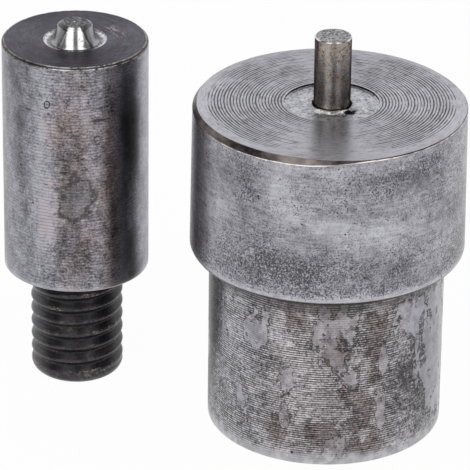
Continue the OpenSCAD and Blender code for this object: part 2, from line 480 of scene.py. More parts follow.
# bare patches and brown stains on the shank: degrees from +X, height, half width in degrees, half height
barePatches = [
    (274, 13.0, 14, 2.1), (267, 11.4, 7, 1.6), (276, 9.8, 6, 1.9), (282, 8.2, 4, 1.0),
    (234, 11.8, 8, 1.9), (250, 7.8, 3.4, 1.3), (313, 12.8, 11, 2.4), (275, 1.6, 6, 1.5),
    (299, 9.3, 4, 2.0), (297, 5.3, 3.4, 2.2), (249, 4.2, 4, 1.9), (224, 5.0, 4, 1.6),
    (40, 6.0, 14, 2.5), (75, 11.0, 10, 2.0), (120, 4.5, 12, 2.0), (150, 12.0, 10, 2.2),
    (182, 7.0, 8, 2.2), (10, 12.0, 9, 1.5), (341, 8.0, 22, 8.5),
]
brownStains = [
    (294, 12.0, 6, 2.8), (274, 10.8, 6, 1.8), (288, 1.6, 9, 1.3), (268, 3.0, 8, 1.4),
    (254, 13.8, 6, 1.8), (287, 4.6, 6, 1.8), (280, 6.9, 5, 0.9), (245, 3.0, 6, 1.2),
    (272, 14.8, 12, 0.8), (293, 8.4, 4, 1.0), (60, 8.0, 14, 3.0), (135, 9.0, 12, 3.0),
    (180, 3.0, 12, 1.6), (20, 4.0, 10, 2.0),
]


def dieProfile(d):
    wide, soft, top, seatR = d["chamferW"], d["edgeSoft"], d["topZ"], d["seatR"]
    headTop = top - wide * d["chamferSlope"]
    seatZ = top - d["seatDepth"]
    wallZ = top - d["seatDepth"] * d["wallDark"]
    mouthZ = seatZ - d["seatDish"]
    breakZ = mouthZ - (d["mouthR"] - d["boreR"])
    rimR, rimZ = d["shankR"] - d["shankRound"], d["shankRound"]
    lipR, lipZ = d["headR"] - d["headRound"], d["shoulderZ"] + d["headRound"]
    ringsR, wallR, footR = seatR + d["seatEdge"], seatR - d["seatDraft"], seatR - d["seatEdge"]
    return runs((d["baseMouthR"], 0), [
        ("base", 3, 0.5, (rimR, 0), 8),
        ("shankRim", 1, 1, rounded((rimR, rimZ), d["shankRound"], -90, 0, 8)),
        ("shank", 1, 1, (d["shankR"], d["shoulderZ"]), 60),
        ("shoulder", 3, 0.5, (lipR, d["shoulderZ"]), 3),
        ("lip", 2, 1, rounded((lipR, lipZ), d["headRound"], -90, 0, 12)),
        ("head", 2, 1, (d["headR"], headTop - soft), 46),
        ("headEdge", 6, 2, (d["headR"], headTop), 3),
        ("chamfer", 4, 1.5, (d["headR"] - wide, top), 8),
        ("face", 0, 1, (d["ringOuterR"], top), 8),
        ("rings", 0, 1.2, toolMarks((d["ringOuterR"], top), (ringsR, top), d["ringPitch"], 0.36)),
        ("seatEdge", 0, 1.2, (seatR, top)),
        ("seatWall", 7, 1.2, (wallR, wallZ), 2),
        ("seatFoot", 5, 1.2, (footR, seatZ), 3),
        ("seat", 5, 1.5, (d["mouthR"], mouthZ), 36),
        ("mouth", 7, 1.5, (d["boreR"], breakZ), 4),
        ("bore", 3, 0.2, (d["boreR"], d["roofZ"]), 6),
        ("roof", 3, 0.15, (d["chamberR"], d["roofZ"]), 2),
        ("chamber", 3, 0.15, (d["chamberR"], d["threadTopZ"]), 4),
        ("step", 3, 0.15, (d["threadR"], d["threadTopZ"])),
        ("thread", 3, 0.15, (d["threadR"], d["threadLowZ"]), 4),
    ])


def shapeDie(zones, r, z, groove, theta):
    d = die
    deg = np.degrees(theta)
    at, turn, x, y = surface(zones, r, theta)
    field = partial(randomField, x, y, z)
    # uneven chamfer, with a slightly ragged edge, almost gone at the front right
    ragged = randomField(np.cos(theta) * 11, np.sin(theta) * 11, theta * 0, (0.8, 1), 3, 3.0)
    ahead = 0.5 + 0.5 * np.cos(theta - math.radians(238))
    full = d["chamferBack"] + (d["chamferW"] - d["chamferBack"]) * ahead
    late = np.where(deg < 90, deg + 360, deg)
    narrow = smoothStep(late, *d["chamferNarrow"]) * (1 - smoothStep(late, *d["chamferWiden"]))
    wide = np.maximum(d["chamferLeast"], full + (d["chamferLeast"] - full) * narrow + 0.012 * ragged)
    high = wide * d["chamferSlope"]
    headTop = d["topZ"] - d["chamferW"] * d["chamferSlope"]
    lipZ = d["shoulderZ"] + d["headRound"]
    for name in ("head", "headEdge"):
        i = at[name]
        z[i] = lipZ + (z[i] - lipZ) / (headTop - lipZ) * (d["topZ"] - high - lipZ)
        r[i] += d["headTaper"] * (0.35 - (z[i] - lipZ) / (d["topZ"] - lipZ))
    r[at["lip"]] += d["headTaper"] * 0.35
    topR = d["headR"] - d["headTaper"] * 0.65
    i = at["chamfer"]
    share = (z[i] - headTop) / (d["topZ"] - headTop)
    r[i] = topR - wide * share
    z[i] = d["topZ"] - high * (1 - share)
    i = at["face"]
    share = (r[i] - d["ringOuterR"]) / (d["headR"] - d["chamferW"] - d["ringOuterR"])
    r[i] = d["ringOuterR"] + share * (topR - wide - d["ringOuterR"])
    # turned rings on the top face, uneven and broken, worn off at the front and the rim
    rng = np.random.default_rng(7)
    ringNoise = field((3.0, 3.0), 2, 12.4)
    breaks = field((0.9, 0.9), 2, 19.0)
    beside = smoothStep(np.abs(np.cos(theta)), 0.15, 0.7)
    left = np.where(np.sin(theta) < 0, 0.12, 0.4)
    kept = (left + (1 - left) * beside) * (1 - 0.6 * smoothStep(r, 9.3, 10.6))
    groove = groove * (0.6 + 0.75 * rng.random(len(r)))[:, None]
    groove = groove * (0.9 + 0.4 * ringNoise + 0.5 * breaks) * kept
    i = at["rings"]
    z[i] -= d["ringDepth"] * np.maximum(0, groove[i])
    # eaten and dented skin
    skin = field((0.45, 0.45), 2, 60.0)
    for name, amount in (("head", 0.006), ("shank", 0.005), ("lip", 0.004), ("shankRim", 0.004)):
        r[at[name]] += amount * skin[at[name]]
    for name in ("face", "rings"):
        z[at[name]] += 0.002 * skin[at[name]]
    # seat: uneven floor, torn metal at the front of the bore and one deep notch
    i = np.concatenate([at["seat"], at["mouth"]])
    z[i] += 0.008 * skin[i] + d["mouthRise"] * bell(r[i], d["mouthR"], 0.4)
    tear = field((0.5, 0.5), 3, 77.0)
    front = facing(turn, 268, 52, 22)
    back = facing(turn, 80, 46, 20)
    ring = bell(r, 2.0, 0.3)
    burr = (front + 0.7 * back) * ring * np.maximum(0, tear + 0.4)
    z[i] += 0.18 * burr[i]
    notchX = d["notchR"] * math.cos(math.radians(d["notchTurn"]))
    notchY = d["notchR"] * math.sin(math.radians(d["notchTurn"]))
    notch = np.exp(-(((x - notchX) / 0.5) ** 2 + ((y - notchY) / 0.46) ** 2 + 0.8 * tear))
    z[i] -= (0.22 * np.minimum(1, notch))[i]
    r[at["seatWall"]] += 0.015 * tear[at["seatWall"]]
    # clouds and grit on the head
    cloud = field((4.6, 3.6), 4, 40.1)
    tone = 0.5 + 0.22 * cloud
    grit = 0.55 + 0.4 * field((3.0, 2.4), 3, 83.0) + 0.25 * smoothStep(21.5 - z, 0, 3)
    i = np.concatenate([at["head"], at["lip"], at["headEdge"]])
    spots = 0.85 * spotTone(turn[i], z[i], headSpots)
    tone[i] += spots
    grit[i] -= 1.1 * np.maximum(0, spots) + 0.9 * np.minimum(0, spots)
    # painted highlight along the lip, with fewer pits there, and along the foot of the head above it
    tone[at["lip"]] = 0.8
    grit[at["lip"]] = 0.2
    i = at["head"]
    tone[i] += 0.3 * bell(z[i], lipZ, 0.45)
    # painted shade under the lip and on the shank close to the shoulder
    shade = np.zeros_like(r)
    shade[at["lip"]] = smoothStep(0.68 - (z[at["lip"]] - d["shoulderZ"]) / d["headRound"], 0, 0.14)
    i = at["shank"]
    shade[i] = 0.6 * smoothStep(z[i], d["shoulderZ"] - 2.0, d["shoulderZ"] - 0.9)
    # patches and stains on the shank, tool marks that are worn away on one side
    wobble = field((0.8, 0.8), 4, 5.3)
    drips = field((0.9, 2.4), 3, 25.1)
    bare = np.maximum(markField(turn, z, barePatches), -0.45) + 0.4 * wobble + 0.65 * drips
    brown = np.maximum(markField(turn, z, brownStains), -0.5) + 0.6 * wobble - 0.35 * drips
    tooled = 0.9 + 0.6 * field((3.0, 3.0), 2, 9.0)
    tooled *= 1 - 0.85 * facing(turn, 336, 36, 14)
    # painted warm light on the faces towards the front and the back, the sides left cooler
    warm = facing(turn, 274, 46, 22) + facing(turn, 110, 40, 22)
    tone[i] = 0.5 + 0.12 * cloud[i] + spotTone(turn[i], z[i], shankSpots)
    i = np.concatenate([at["face"], at["rings"]])
    tone[i] += spotTone(turn[i], r[i], faceSpots)
    # rust on the chamfer, with a painted highlight where it faces the front
    i = at["chamfer"]
    tone[i] = 0.32 + 0.25 * wobble[i] + 0.4 * facing(turn[i], 252, 18, 14)
    rub = np.zeros_like(r)
    rub[at["shankRim"]] = 1.0
    # painted highlight along the edge under the chamfer at both sides of the front, over uneven wear
    i = at["headEdge"]
    bright = facing(turn[i], 253, 20, 8) + facing(turn[i], 289, 13, 7)
    rub[i] = np.maximum(bright, 0.25 + 0.8 * wobble[i])
    i = at["shank"]
    rub[i] = bell(z[i], d["shankRound"], 0.7 + 0.5 * wobble[i])
    # what was cut off centre
    shift = np.zeros((len(r), 2))
    for name in ("rings", "seatEdge", "seatWall", "seatFoot", "seat", "mouth", "bore"):
        shift[at[name]] = d["offCentre"]
    shift[at["face"]] = np.outer(np.linspace(0, 1, len(at["face"])), d["offCentre"])
    return {"groove": groove, "tone": tone, "grit": grit, "shade": shade, "bare": bare, "brown": brown,
            "tooled": tooled, "rub": rub, "warm": warm, "burr": burr, "notch": notch, "shift": shift}


def facedTop():
    f = Steel("faced_top", 0.55)
    fine = f.ringNoise(10.0, 7.0, 2, 0.6)
    grain = f.noise(5.5, 2, 0.6)
    soft = f.noise(0.35, 3, 0.55)
    tone = f.blend(0.71, (fine, 1.1), (grain, 1.0), (soft, 0.5), (f.field("tone"), 0.7))
    f.colour = f.tint(f.step(tone, 0.0, 1.0), (0.205, 0.204, 0.223), (0.55, 0.549, 0.597))
    dash = f.times(f.step(fine, 0.43, 0.3), f.step(f.radius, 10.9, 10.0, 0.2, 1))
    f.coat(dash, (0.09, 0.09, 0.098), 0.7)
    groove = f.blend(f.field("groove"), (grain, 0.35))
    f.coat(f.step(groove, 0.16, 0.5, 0, 0.95), (0.04, 0.04, 0.044))
    f.coat(f.spots(0.8, 0.09, 0.1), (0.05, 0.045, 0.045))
    rough = f.step(grain, 0.3, 0.7, 0.29, 0.4)
    normal = f.bump(grain, 0.006, f.bump(fine, 0.006))
    return f.done(rough, normal)


def turnedShank(d):
    f = Steel("turned_shank", 0.5)
    grain = f.noise(5.0, 3, 0.65)
    coarse = f.noise(1.2, 3, 0.6)
    torn = f.noise(2.4, 4, 0.75)
    fine = f.ringNoise(9.0, 8.0, 2, 0.6)
    bare = f.blend(f.field("bare"), (torn, 1.4))
    brown = f.blend(f.field("brown"), (torn, 1.4))
    smooth = f.step(bare, 0.19, 0.23)
    bareRim = f.band(bare, 0.05, 0.18, 0.03)
    stained = f.step(brown, 0.12, 0.2)
    stainRim = f.band(brown, 0.04, 0.14, 0.03)
    lines = f.times(f.turnedLines(d["linePitch"], 0.5, 0.37), f.field("tooled"), clamp=True)
    lines = f.times(lines, f.step(bare, 0.24, 0.17, 0.3, 1))
    tone = f.blend(0.53, (grain, 1.7), (coarse, 0.6), (fine, 0.9), (f.field("tone"), 1.0))
    ground = f.tint(f.step(tone, 0.0, 1.0), (0.075, 0.073, 0.08), (0.73, 0.718, 0.765))
    plain = f.tint(f.step(coarse, 0.35, 0.65), (0.29, 0.285, 0.313), (0.46, 0.452, 0.494))
    plain = f.tint(f.step(grain, 0.46, 0.34, 0, 0.5), plain, (0.16, 0.16, 0.17))
    plain = f.tint(f.step(f.field("tone"), 0.45, 0.1, 0, 0.6), plain, (0.21, 0.208, 0.225))
    f.colour = f.tint(smooth, ground, plain)
    # painted warm light on the front and back
    f.coat(f.field("warm"), (1.0, 0.955, 0.925), way="MULTIPLY")
    # thin dark outlines of old rust
    curls = f.band(f.noise(1.1, 3, 0.65), 0.48, 0.515, 0.012)
    curls = f.times(curls, f.step(f.noise(0.5, 2), 0.5, 0.6, 0, 0.75))
    f.coat(curls, (0.035, 0.031, 0.031))
    rust = f.tint(f.step(torn, 0.42, 0.58), (0.38, 0.345, 0.285), (0.5, 0.42, 0.395))
    stained = f.times(stained, f.step(smooth, 0, 1, 0.7, 0.45))
    f.coat(stained, rust, way="MULTIPLY")
    f.coat(lines, (0.025, 0.022, 0.022), 0.95)
    f.coat(bareRim, (0.03, 0.027, 0.027), 0.8)
    f.coat(stainRim, (0.025, 0.021, 0.019), 0.8)
    rimSteel = f.tint(f.step(coarse, 0.35, 0.65), (0.4, 0.4, 0.42), (0.56, 0.56, 0.585))
    f.coat(f.field("rub"), rimSteel)
    # painted shade below the shoulder
    f.coat(f.field("shade"), (0.06, 0.057, 0.057))
    f.coat(f.spots(0.75, 0.13, 0.12), (0.03, 0.028, 0.028))
    rough = f.step(bare, 0.1, 0.3, 0.36, 0.28)
    relief = f.times(grain, f.step(bare, 0.26, 0.12, 0.25, 1))
    normal = f.bump(smooth, 0.012, f.bump(lines, -0.008, f.bump(relief, 0.014)))
    return f.done(rough, normal)


def cloudedHead():
    f = Steel("clouded_head", 0.45)
    grain = f.noise(7.0, 4, 0.75)
    mottle = f.noise(1.5, 3, 0.65)
    streak = f.ringNoise(5.0, 7.0, 2, 0.6)
    tone = f.blend(f.field("tone"), (mottle, 0.9), (streak, 0.75))
    lit = f.tint(f.step(tone, 0.0, 1.15), (0.14, 0.138, 0.153), (0.58, 0.576, 0.628))
    # the grittier a place is, the more of it lies below the skin
    bite = f.math("MULTIPLY_ADD", f.field("grit"), 0.155, 0.35)
    eaten = f.step(f.math("SUBTRACT", grain, bite), 0.05, -0.06, 0, 0.85)
    f.colour = f.tint(eaten, lit, (0.052, 0.051, 0.056))
    sparks = f.times(f.step(grain, 0.53, 0.66, 0, 0.6), f.field("grit"), clamp=True)
    f.coat(sparks, (0.7, 0.7, 0.74))
    pits = f.most(f.spots(0.7, 0.1, 0.2), f.spots(1.7, 0.18, 0.2))
    f.coat(pits, (0.03, 0.028, 0.03))
    # painted shade on the underside of the lip
    f.coat(f.field("shade"), (0.025, 0.024, 0.025))
    rough = f.step(grain, 0.3, 0.7, 0.38, 0.3)
    normal = f.bump(pits, -0.02, f.bump(grain, 0.012))
    return f.done(rough, normal)


def innerSteel():
    f = Steel("inner_steel", 0.3)
    marks = f.ringNoise(7.0, 5.0, 2, 0.6)
    grain = f.noise(3.0, 3, 0.6)
    f.colour = f.tint(marks, (0.16, 0.16, 0.168), (0.4, 0.4, 0.42))
    f.coat(f.step(grain, 0.52, 0.7, 0, 0.5), (0.12, 0.095, 0.08))
    return f.done(f.step(grain, 0.3, 0.7, 0.35, 0.5), f.bump(marks, 0.01))


def brownedChamfer():
    f = Steel("browned_chamfer", 0.0)
    grain = f.noise(3.4, 3, 0.6)
    drawn = f.ringNoise(4.0, 6.0, 2, 0.6)
    tone = f.blend(f.field("tone"), (grain, 0.4), (drawn, 0.5))
    f.colour = f.tint(f.step(tone, 0.1, 1.0), (0.07, 0.058, 0.06), (0.4, 0.345, 0.32))
    return f.doneByGrain(grain, 0.28, 0.4, 0.008)


def wornEdgeAndHighlight():
    f = Steel("worn_edge", 0.0)
    grain = f.noise(1.6, 3, 0.6)
    # light where the field sets wear, and the painted highlight along the die's edge under the chamfer
    worn = f.times(f.field("rub"), f.step(grain, 0.3, 0.5, 0.3, 1), clamp=True)
    f.colour = f.tint(worn, (0.26, 0.245, 0.245), (0.95, 0.92, 0.91))
    return f.done(f.step(grain, 0.3, 0.7, 0.3, 0.2))


def smoothSeat():
    f = Steel("smooth_seat", 0.0)
    grain = f.noise(5.5, 3, 0.7)
    soft = f.noise(1.6, 3, 0.6)
    tone = f.blend(0.55, (grain, 1.3), (soft, 1.4))
    f.colour = f.tint(f.step(tone, 0.0, 1.0), (0.3, 0.3, 0.323), (0.74, 0.742, 0.79))
    specks = f.times(f.step(grain, 0.45, 0.37), f.step(soft, 0.56, 0.46))
    f.coat(specks, (0.05, 0.05, 0.053), 0.9)
    # painted glints on the torn metal round the bore
    burr = f.blend(f.field("burr"), (grain, 0.5))
    f.coat(f.step(burr, 0.12, 0.2), (0.97, 0.97, 0.97))
    # painted shade in the notch
    notch = f.blend(f.field("notch"), (grain, 0.6))
    f.coat(f.step(notch, 0.36, 0.46), (0.008, 0.008, 0.008))
    return f.doneByGrain(grain, 0.5, 0.34, 0.018)


inner = innerSteel()
wornSteelAndHighlight = wornEdgeAndHighlight()
# painted shade on the wall of the seat and round the mouth of the bore
paintedCornerShade = grainySteel("grimy_corner", 3.0, 0.6, (0.5, 0.68), (0.02, 0.02, 0.021), (0.14, 0.138, 0.14),
                    (0.55, 0.4), 0.01)
dieFinishes = [facedTop(), turnedShank(die), cloudedHead(), inner, brownedChamfer(), smoothSeat(),
               wornSteelAndHighlight, paintedCornerShade]
dieMesh = latheMesh("die_body_turned", dieProfile(die), die["columns"], shapeDie, True)
addPiece(dieMesh, (0, 0), dieFinishes, die["sharpAngle"], "die", "die_body")


# Pilot pin, with the collar that stops it under the roof of the die

pin = {
    "r": 1.55,
    "topZ": pinHigh[2] - 0.1,  # the end is worn short
    "collarR": pinHigh[0],
    "collarLowZ": pinLow[2],
    "collarTopZ": die["roofZ"],
    "chamfer": 0.1,
    "columns": 96,
    "sharpAngle": 38,
}
# painted reflections, dark (+) and bright (-) streaks down the pin, given as the spots on the head
pinStreaks = [
    (249, 32.0, 9, 5, -0.6), (273, 31.5, 10, 5, 0.45), (300, 31.0, 9, 4, -0.15),
    (195, 31.0, 24, 9, 0.75), (348, 31.0, 26, 9, 0.75), (80, 33.0, 20, 6, 0.5),
    (130, 33.0, 12, 6, -0.3),
]


def pinProfile(p):
    c, r, top = p["chamfer"], p["r"], p["topZ"]
    wide, low, high = p["collarR"], p["collarLowZ"], p["collarTopZ"]
    return runs((0, low), [
        ("collar", 1, 0.2, (wide - c, low), 4),
        ("collar", 1, 0.2, (wide, low + c)),
        ("collar", 1, 0.2, (wide, high - c), 2),
        ("collar", 1, 0.2, (wide - c, high)),
        ("collar", 1, 0.2, (r, high), 3),
        ("stem", 0, 1, (r, top - c), 96),
        ("edge", 3, 3, (r - c, top), 4),
        ("tip", 2, 2, (0, top), 14),
    ])


def shapePin(zones, r, z, groove, theta):
    at, turn, x, y = surface(zones, r, theta)
    field = partial(randomField, x, y, z)
    dents = field((0.4, 0.6), 3, 12.0)
    worn = field((1.2, 1.6), 2, 31.0)
    i = at["stem"]
    r[i] += 0.002 * dents[i] - 0.003 * np.maximum(0, worn[i])
    i = at["edge"]
    r[i] += 0.02 * np.minimum(0, worn[i]) + 0.006 * dents[i]
    z[i] -= 0.015 * np.abs(dents[i])
    i = at["tip"][:-1]
    z[i] -= 0.014 * np.abs(dents[i]) + 0.012 * np.sin(r[i] * 13) ** 2 * (r[i] < 1.2)
    # painted reflections: dark and bright streaks down its length, with uneven wear
    dull = spotTone(turn, z, pinStreaks) + 0.25 * worn
    return {"rub": 0.7 + 0.4 * worn, "dull": dull}


def darkPin(p):
    f = Steel("dark_pin", 0.4, 0.25)
    grain = f.noise(5.0, 3, 0.7)
    brown = f.noise(1.1, 3, 0.6)
    lit = f.tint(f.step(brown, 0.36, 0.6), (0.42, 0.41, 0.405), (0.41, 0.34, 0.295))
    f.colour = f.tint(f.step(grain, 0.5, 0.34, 0, 0.8), lit, (0.07, 0.058, 0.05))
    low = f.step(f.height, p["topZ"] - 3.0, p["topZ"] - 6.0, 0, 0.3)
    f.coat(low, (0.09, 0.075, 0.066))
    # painted reflections: dark where the field is positive, bright where it is negative
    dull = f.blend(f.field("dull"), (f.noise(2.6, 3, 0.7), 1.2))
    f.coat(f.times(dull, 0.85, clamp=True), (0.055, 0.045, 0.04))
    f.coat(f.times(dull, -0.9, clamp=True), (0.6, 0.56, 0.53))
    f.coat(f.step(grain, 0.6, 0.7, 0, 0.5), (0.5, 0.47, 0.45))
    f.coat(f.spots(2.2, 0.17, 0.14), (0.03, 0.027, 0.025))
    return f.doneByGrain(grain, 0.36, 0.24, 0.01)


pinMesh = latheMesh("pilot_pin_turned", pinProfile(pin), pin["columns"], shapePin, False)
endSteel = grainySteel("pin_tip", 5.5, 0.7, (0.4, 0.6), (0.09, 0.09, 0.092), (0.45, 0.45, 0.47),
                       (0.4, 0.22), 0.02)
pinFinishes = [darkPin(pin), inner, endSteel, wornSteelAndHighlight]
addPiece(pinMesh, die["offCentre"], pinFinishes, pin["sharpAngle"], "pin", "pilot_pin")


# Spring under the pin, in the chamber of the die

springLow, springHigh = nodeBox("pin_spring")
screwLow, screwHigh = nodeBox("retaining_screw")
wireR = 0.35
coil = {
    "wireR": wireR,
    "coilR": springHigh[0] - wireR,
    "lowZ": springLow[2] + wireR,
    "highZ": springHigh[2] - wireR,
    "turns": 6,
    "stepsPerTurn": 40,
    "sides": 12,
    "sharpAngle": 60,
    "seatZ": screwHigh[2],  # top of the retaining screw
    "roomZ": pinLow[2],  # under the collar of the pin
}


def coilMesh(name, c):
    steps = c["turns"] * c["stepsPerTurn"]
    rise = (c["highZ"] - c["lowZ"]) / (fullTurn * c["turns"])
    verts, faces = [], []
    for i in range(steps + 1):
        a = fullTurn * c["turns"] * i / steps
        out = Vector((math.cos(a), math.sin(a), 0))
        forward = Vector((-math.sin(a) * c["coilR"], math.cos(a) * c["coilR"], rise)).normalized()
        upward = forward.cross(out) * -1
        middle = out * c["coilR"] + Vector((0, 0, c["lowZ"] + rise * a))
        for k in range(c["sides"]):
            b = fullTurn * k / c["sides"]
            verts.append((middle + (out * math.cos(b) + upward * math.sin(b)) * c["wireR"]) * mm)
    n = c["sides"]
    for i in range(steps):
        for k in range(n):
            faces.append((i * n + k, i * n + (k + 1) % n, (i + 1) * n + (k + 1) % n, (i + 1) * n + k))
    faces.append(tuple(range(n)))
    faces.append(tuple(reversed(range(steps * n, steps * n + n))))
    return cleanMesh(makeMesh(name, verts, faces, {}))


drawnWire = grainySteel("spring_wire", 3.5, 0.6, (0.35, 0.65), (0.3, 0.3, 0.31), (0.55, 0.55, 0.56),
                        (0.22, 0.36), 0.006)
springMesh = coilMesh("pin_spring_coil", coil)
spring = addPiece(springMesh, (0, 0), [drawnWire], coil["sharpAngle"], "die", "pin_spring")
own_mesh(spring)


# Retaining screw and mounting stud: right-hand threads with a hexagon socket below

def threadMesh(name, t):
    columns, pitch = t["columns"], t["pitch"]
    phases = [k / t["stepsPerTurn"] for k in range(t["stepsPerTurn"])]
    # rounded crests and narrower roots: 0 on the crest, 1 in the root
    depthAt = [(0.5 - 0.5 * math.cos(fullTurn * p)) ** t["crestRound"] for p in phases]
    theta = np.arange(columns + 1) * fullTurn / columns
    sector = (np.degrees(theta) + t["socketTurn"] + 30) % 60 - 30
    hexR = t["socket"] / 2 / np.cos(np.radians(sector))
    low, high, deep = t["lowZ"], t["highZ"], t["lowZ"] + t["socketDepth"]
    # the socket from its drilled cone to its mouth: radius, height, depth in the thread
    level, cone, lip = np.ones_like(hexR), 0.3, 0.12
    rows = [(0 * level, (deep + cone) * level, level), (hexR * 0.98, deep * level, level),
            (hexR, (deep - 0.05) * level, level), (hexR, (low + lip) * level, level),
            (hexR + lip, low * level, 0.3 * level)]
    turns = int((high - low) / pitch) + 2
    endRound = t["crestR"] - t["lowEndR"]
    for turn in range(-1, turns):
        for p, depth in zip(phases, depthAt):
            z = low + (turn + p + t["start"]) * pitch + pitch * theta / fullTurn
            z = np.clip(z, low, high)
            # the thread runs out over the rounded free end
            cut = depth * smoothStep(z - low, t["plainEnd"], t["plainEnd"] + pitch)
            drop = np.clip(1 - (z - low) / endRound, 0, 1)
            end = t["lowEndR"] + endRound * np.sqrt(1 - drop ** 2)
            r = np.minimum(t["crestR"] - t["threadDepth"] * cut, end)
            r = np.minimum(r, t["highEndR"] + (high - z))
            rows.append((r, z, cut))
    rows.append((0 * level, high * level, 0.3 * level))
    verts, depths = [], []
    for r, z, depth in rows:
        for j in range(columns + 1):
            verts.append((r[j] * math.cos(theta[j]) * mm, r[j] * math.sin(theta[j]) * mm, z[j] * mm))
            depths.append(depth[j])
    wide = columns + 1
    faces = [(i * wide + j, i * wide + j + 1, (i + 1) * wide + j + 1, (i + 1) * wide + j)
             for i in range(len(rows) - 1) for j in range(columns)]
    return cleanMesh(makeMesh(name, verts, faces, {"root": depths}), 0.0004)


def blackedThread():
    f = Steel("blacked_thread", 0.0)
    root = f.field("root")
    grain = f.noise(4.0, 3, 0.65)
    soft = f.noise(0.7, 3, 0.6)
    black = f.tint(f.step(soft, 0.4, 0.62), (0.014, 0.012, 0.016), (0.034, 0.029, 0.034))
    # painted reflection: the black is lighter towards the left and the right side
    side = f.parts(f.around)["X"]
    black = f.tint(f.step(side, -0.5, -0.8, 0, 0.85), black, (0.1, 0.096, 0.105))
    black = f.tint(f.step(side, 0.7, 0.9, 0, 0.6), black, (0.08, 0.077, 0.085))
    worn = f.times(f.step(root, 0.13, 0.02), f.step(grain, 0.42, 0.64))
    f.colour = f.tint(f.times(worn, 0.5), black, (0.13, 0.124, 0.128))
    glint = f.times(f.band(root, 0.03, 0.2, 0.03), f.step(grain, 0.5, 0.6))
    places = f.step(f.ringNoise(1.3, 0.6, 1), 0.54, 0.62)
    glint = f.times(glint, places)
    f.coat(glint, (0.38, 0.33, 0.26), 0.7)
    f.coat(f.step(root, 0.5, 1.0, 0, 0.8), (0.006, 0.006, 0.007))
    rust = f.times(f.step(soft, 0.53, 0.62), f.step(grain, 0.47, 0.6))
    f.coat(rust, (0.13, 0.09, 0.075), 0.4)
    f.shader.inputs["Metallic"].default_value = 0.4
    return f.doneByGrain(grain, 0.38, 0.22, 0.014)


blacked = blackedThread()
retainer = {
    "crestR": 4.97,
    "pitch": 1.5,
    "threadDepth": 0.85,
    "crestRound": 1.2,
    "lowZ": screwLow[2],
    "highZ": screwHigh[2],
    "lowEndR": 3.95,
    "highEndR": 3.9,
    "plainEnd": 0.4,
    "socket": 5.0,
    "socketDepth": 4.0,
    "socketTurn": 12.0,
    "start": 0.2,
    "stepsPerTurn": 14,
    "columns": 96,
    "sharpAngle": 42,
}
retainerMesh = threadMesh("retaining_screw_threaded", retainer)
addPiece(retainerMesh, (0, 0), [blacked], retainer["sharpAngle"], "die", "retaining_screw")


# Punch: a turned bar with a polished nib in a curling groove, and a tapped hole in its back

punchLow, punchHigh = nodeBox("punch_body")
studLow, studHigh = nodeBox("mounting_stud")
punchAxis = ((punchLow[0] + punchHigh[0]) / 2, (punchLow[1] + punchHigh[1]) / 2)
punch = {
    "r": (punchHigh[0] - punchLow[0]) / 2,
    "seatingZ": punchLow[2],
    "tipZ": punchHigh[2],
    "nibH": 1.55,
    "faceChamfer": 0.18,
    "seatingChamfer": 0.2,
    "edgeSoft": 0.07,  # flat run along both edges of the chamfer, where wear and a painted highlight show
    "tipR": 1.12,
    "bevelW": 0.36,
    "bevelH": 0.24,
    "nibLean": 0.3,  # how far the cone spreads for its height
    "flare": 0.22,  # and how far it spreads more at its foot
    "flareFade": 0.2,
    "grooveR": 2.68,  # outer edge of the curling groove
    "grooveDepth": 0.2,
    "grooveLip": 0.03,
    "fan": (0.85, 0.5),  # how the streaks on the nib spread, at its neck and more to its foot
    "holeTopZ": studHigh[2] + 0.8,
    "holeR": (studHigh[0] - studLow[0]) / 2 + 0.06,  # clear of the crests of the stud
    "drillR": 3.375,
    "drillRunout": 1.0,
    "drillPoint": 118,  # degrees
    "ringPitch": 0.21,
    "ringDepth": 0.004,
    "linePitch": 0.3,
    "columns": 256,
    "sharpAngle": 56,
}
# light and dull places on the side, the light ones at the front left painted highlights: degrees from +X,
# height, half width in degrees, half height, strength
sideSpots = [
    (246, 22.5, 9, 9, 0.4), (251, 16.6, 8, 2.2, 0.3), (225, 21.0, 6, 9, -0.1),
    (262, 24.5, 14, 2.0, -0.12), (272, 14.0, 16, 2.5, -0.1), (284, 23.0, 8, 4.0, 0.12),
    (60, 22.0, 16, 5, 0.3), (110, 18.0, 14, 5, -0.25), (160, 24.0, 14, 4, 0.25),
    (20, 16.0, 14, 4, -0.2), (322, 20.0, 9, 22, -0.3), (344, 20.0, 8, 20, 0.05),
]
# the same on the working face, with the radius in place of the height
punchFaceSpots = [(270, 4.6, 45, 2.0, -0.3), (20, 4.5, 40, 2.0, 0.05)]
# painted reflections down the nib: degrees from the front where each starts and stops, right positive,
# brightness
nibStreaks = [
    (-36, -30, 0.25), (-30, 31, 1.0), (31, 38, 0.2), (110, 124, 0.3), (140, 172, 0.75),
    (-165, -140, 0.7), (-130, -118, 0.3),
]
# blotches with a darker rim, pock marks with a black rim, and small dull marks
sideBlotches = [
    (274, 19.4, 14, 1.9), (268, 18.2, 10, 1.2), (72, 21.0, 7, 0.9), (158, 15.0, 12, 0.7),
    (20, 25.0, 5, 1.0),
]
sidePocks = [(250, 27.7, 2.7, 0.4), (323, 25.4, 2.0, 0.3), (100, 23.0, 4, 0.5)]
sideScratches = [
    (291, 26.4, 8, 0.22), (267, 22.4, 20, 0.1), (232, 27.0, 5, 0.15), (251, 27.0, 1.5, 0.28),
    (100, 26.0, 16, 0.12), (180, 21.0, 14, 0.15),
]
tannedPlaces = [(272, 21.0, 34, 14), (120, 18.0, 30, 8), (30, 24.0, 20, 8)]
# brown films, strongest beside the dark side, given as the light and dull places
brownFilms = [
    (301, 20.0, 9, 12, 1.0), (262, 27.0, 7, 2.5, 0.4), (266, 23.5, 9, 2.5, 0.2),
    (275, 14.0, 16, 3.0, 0.3), (140, 20.0, 12, 5, 0.4), (50, 15.0, 12, 4, 0.4),
]


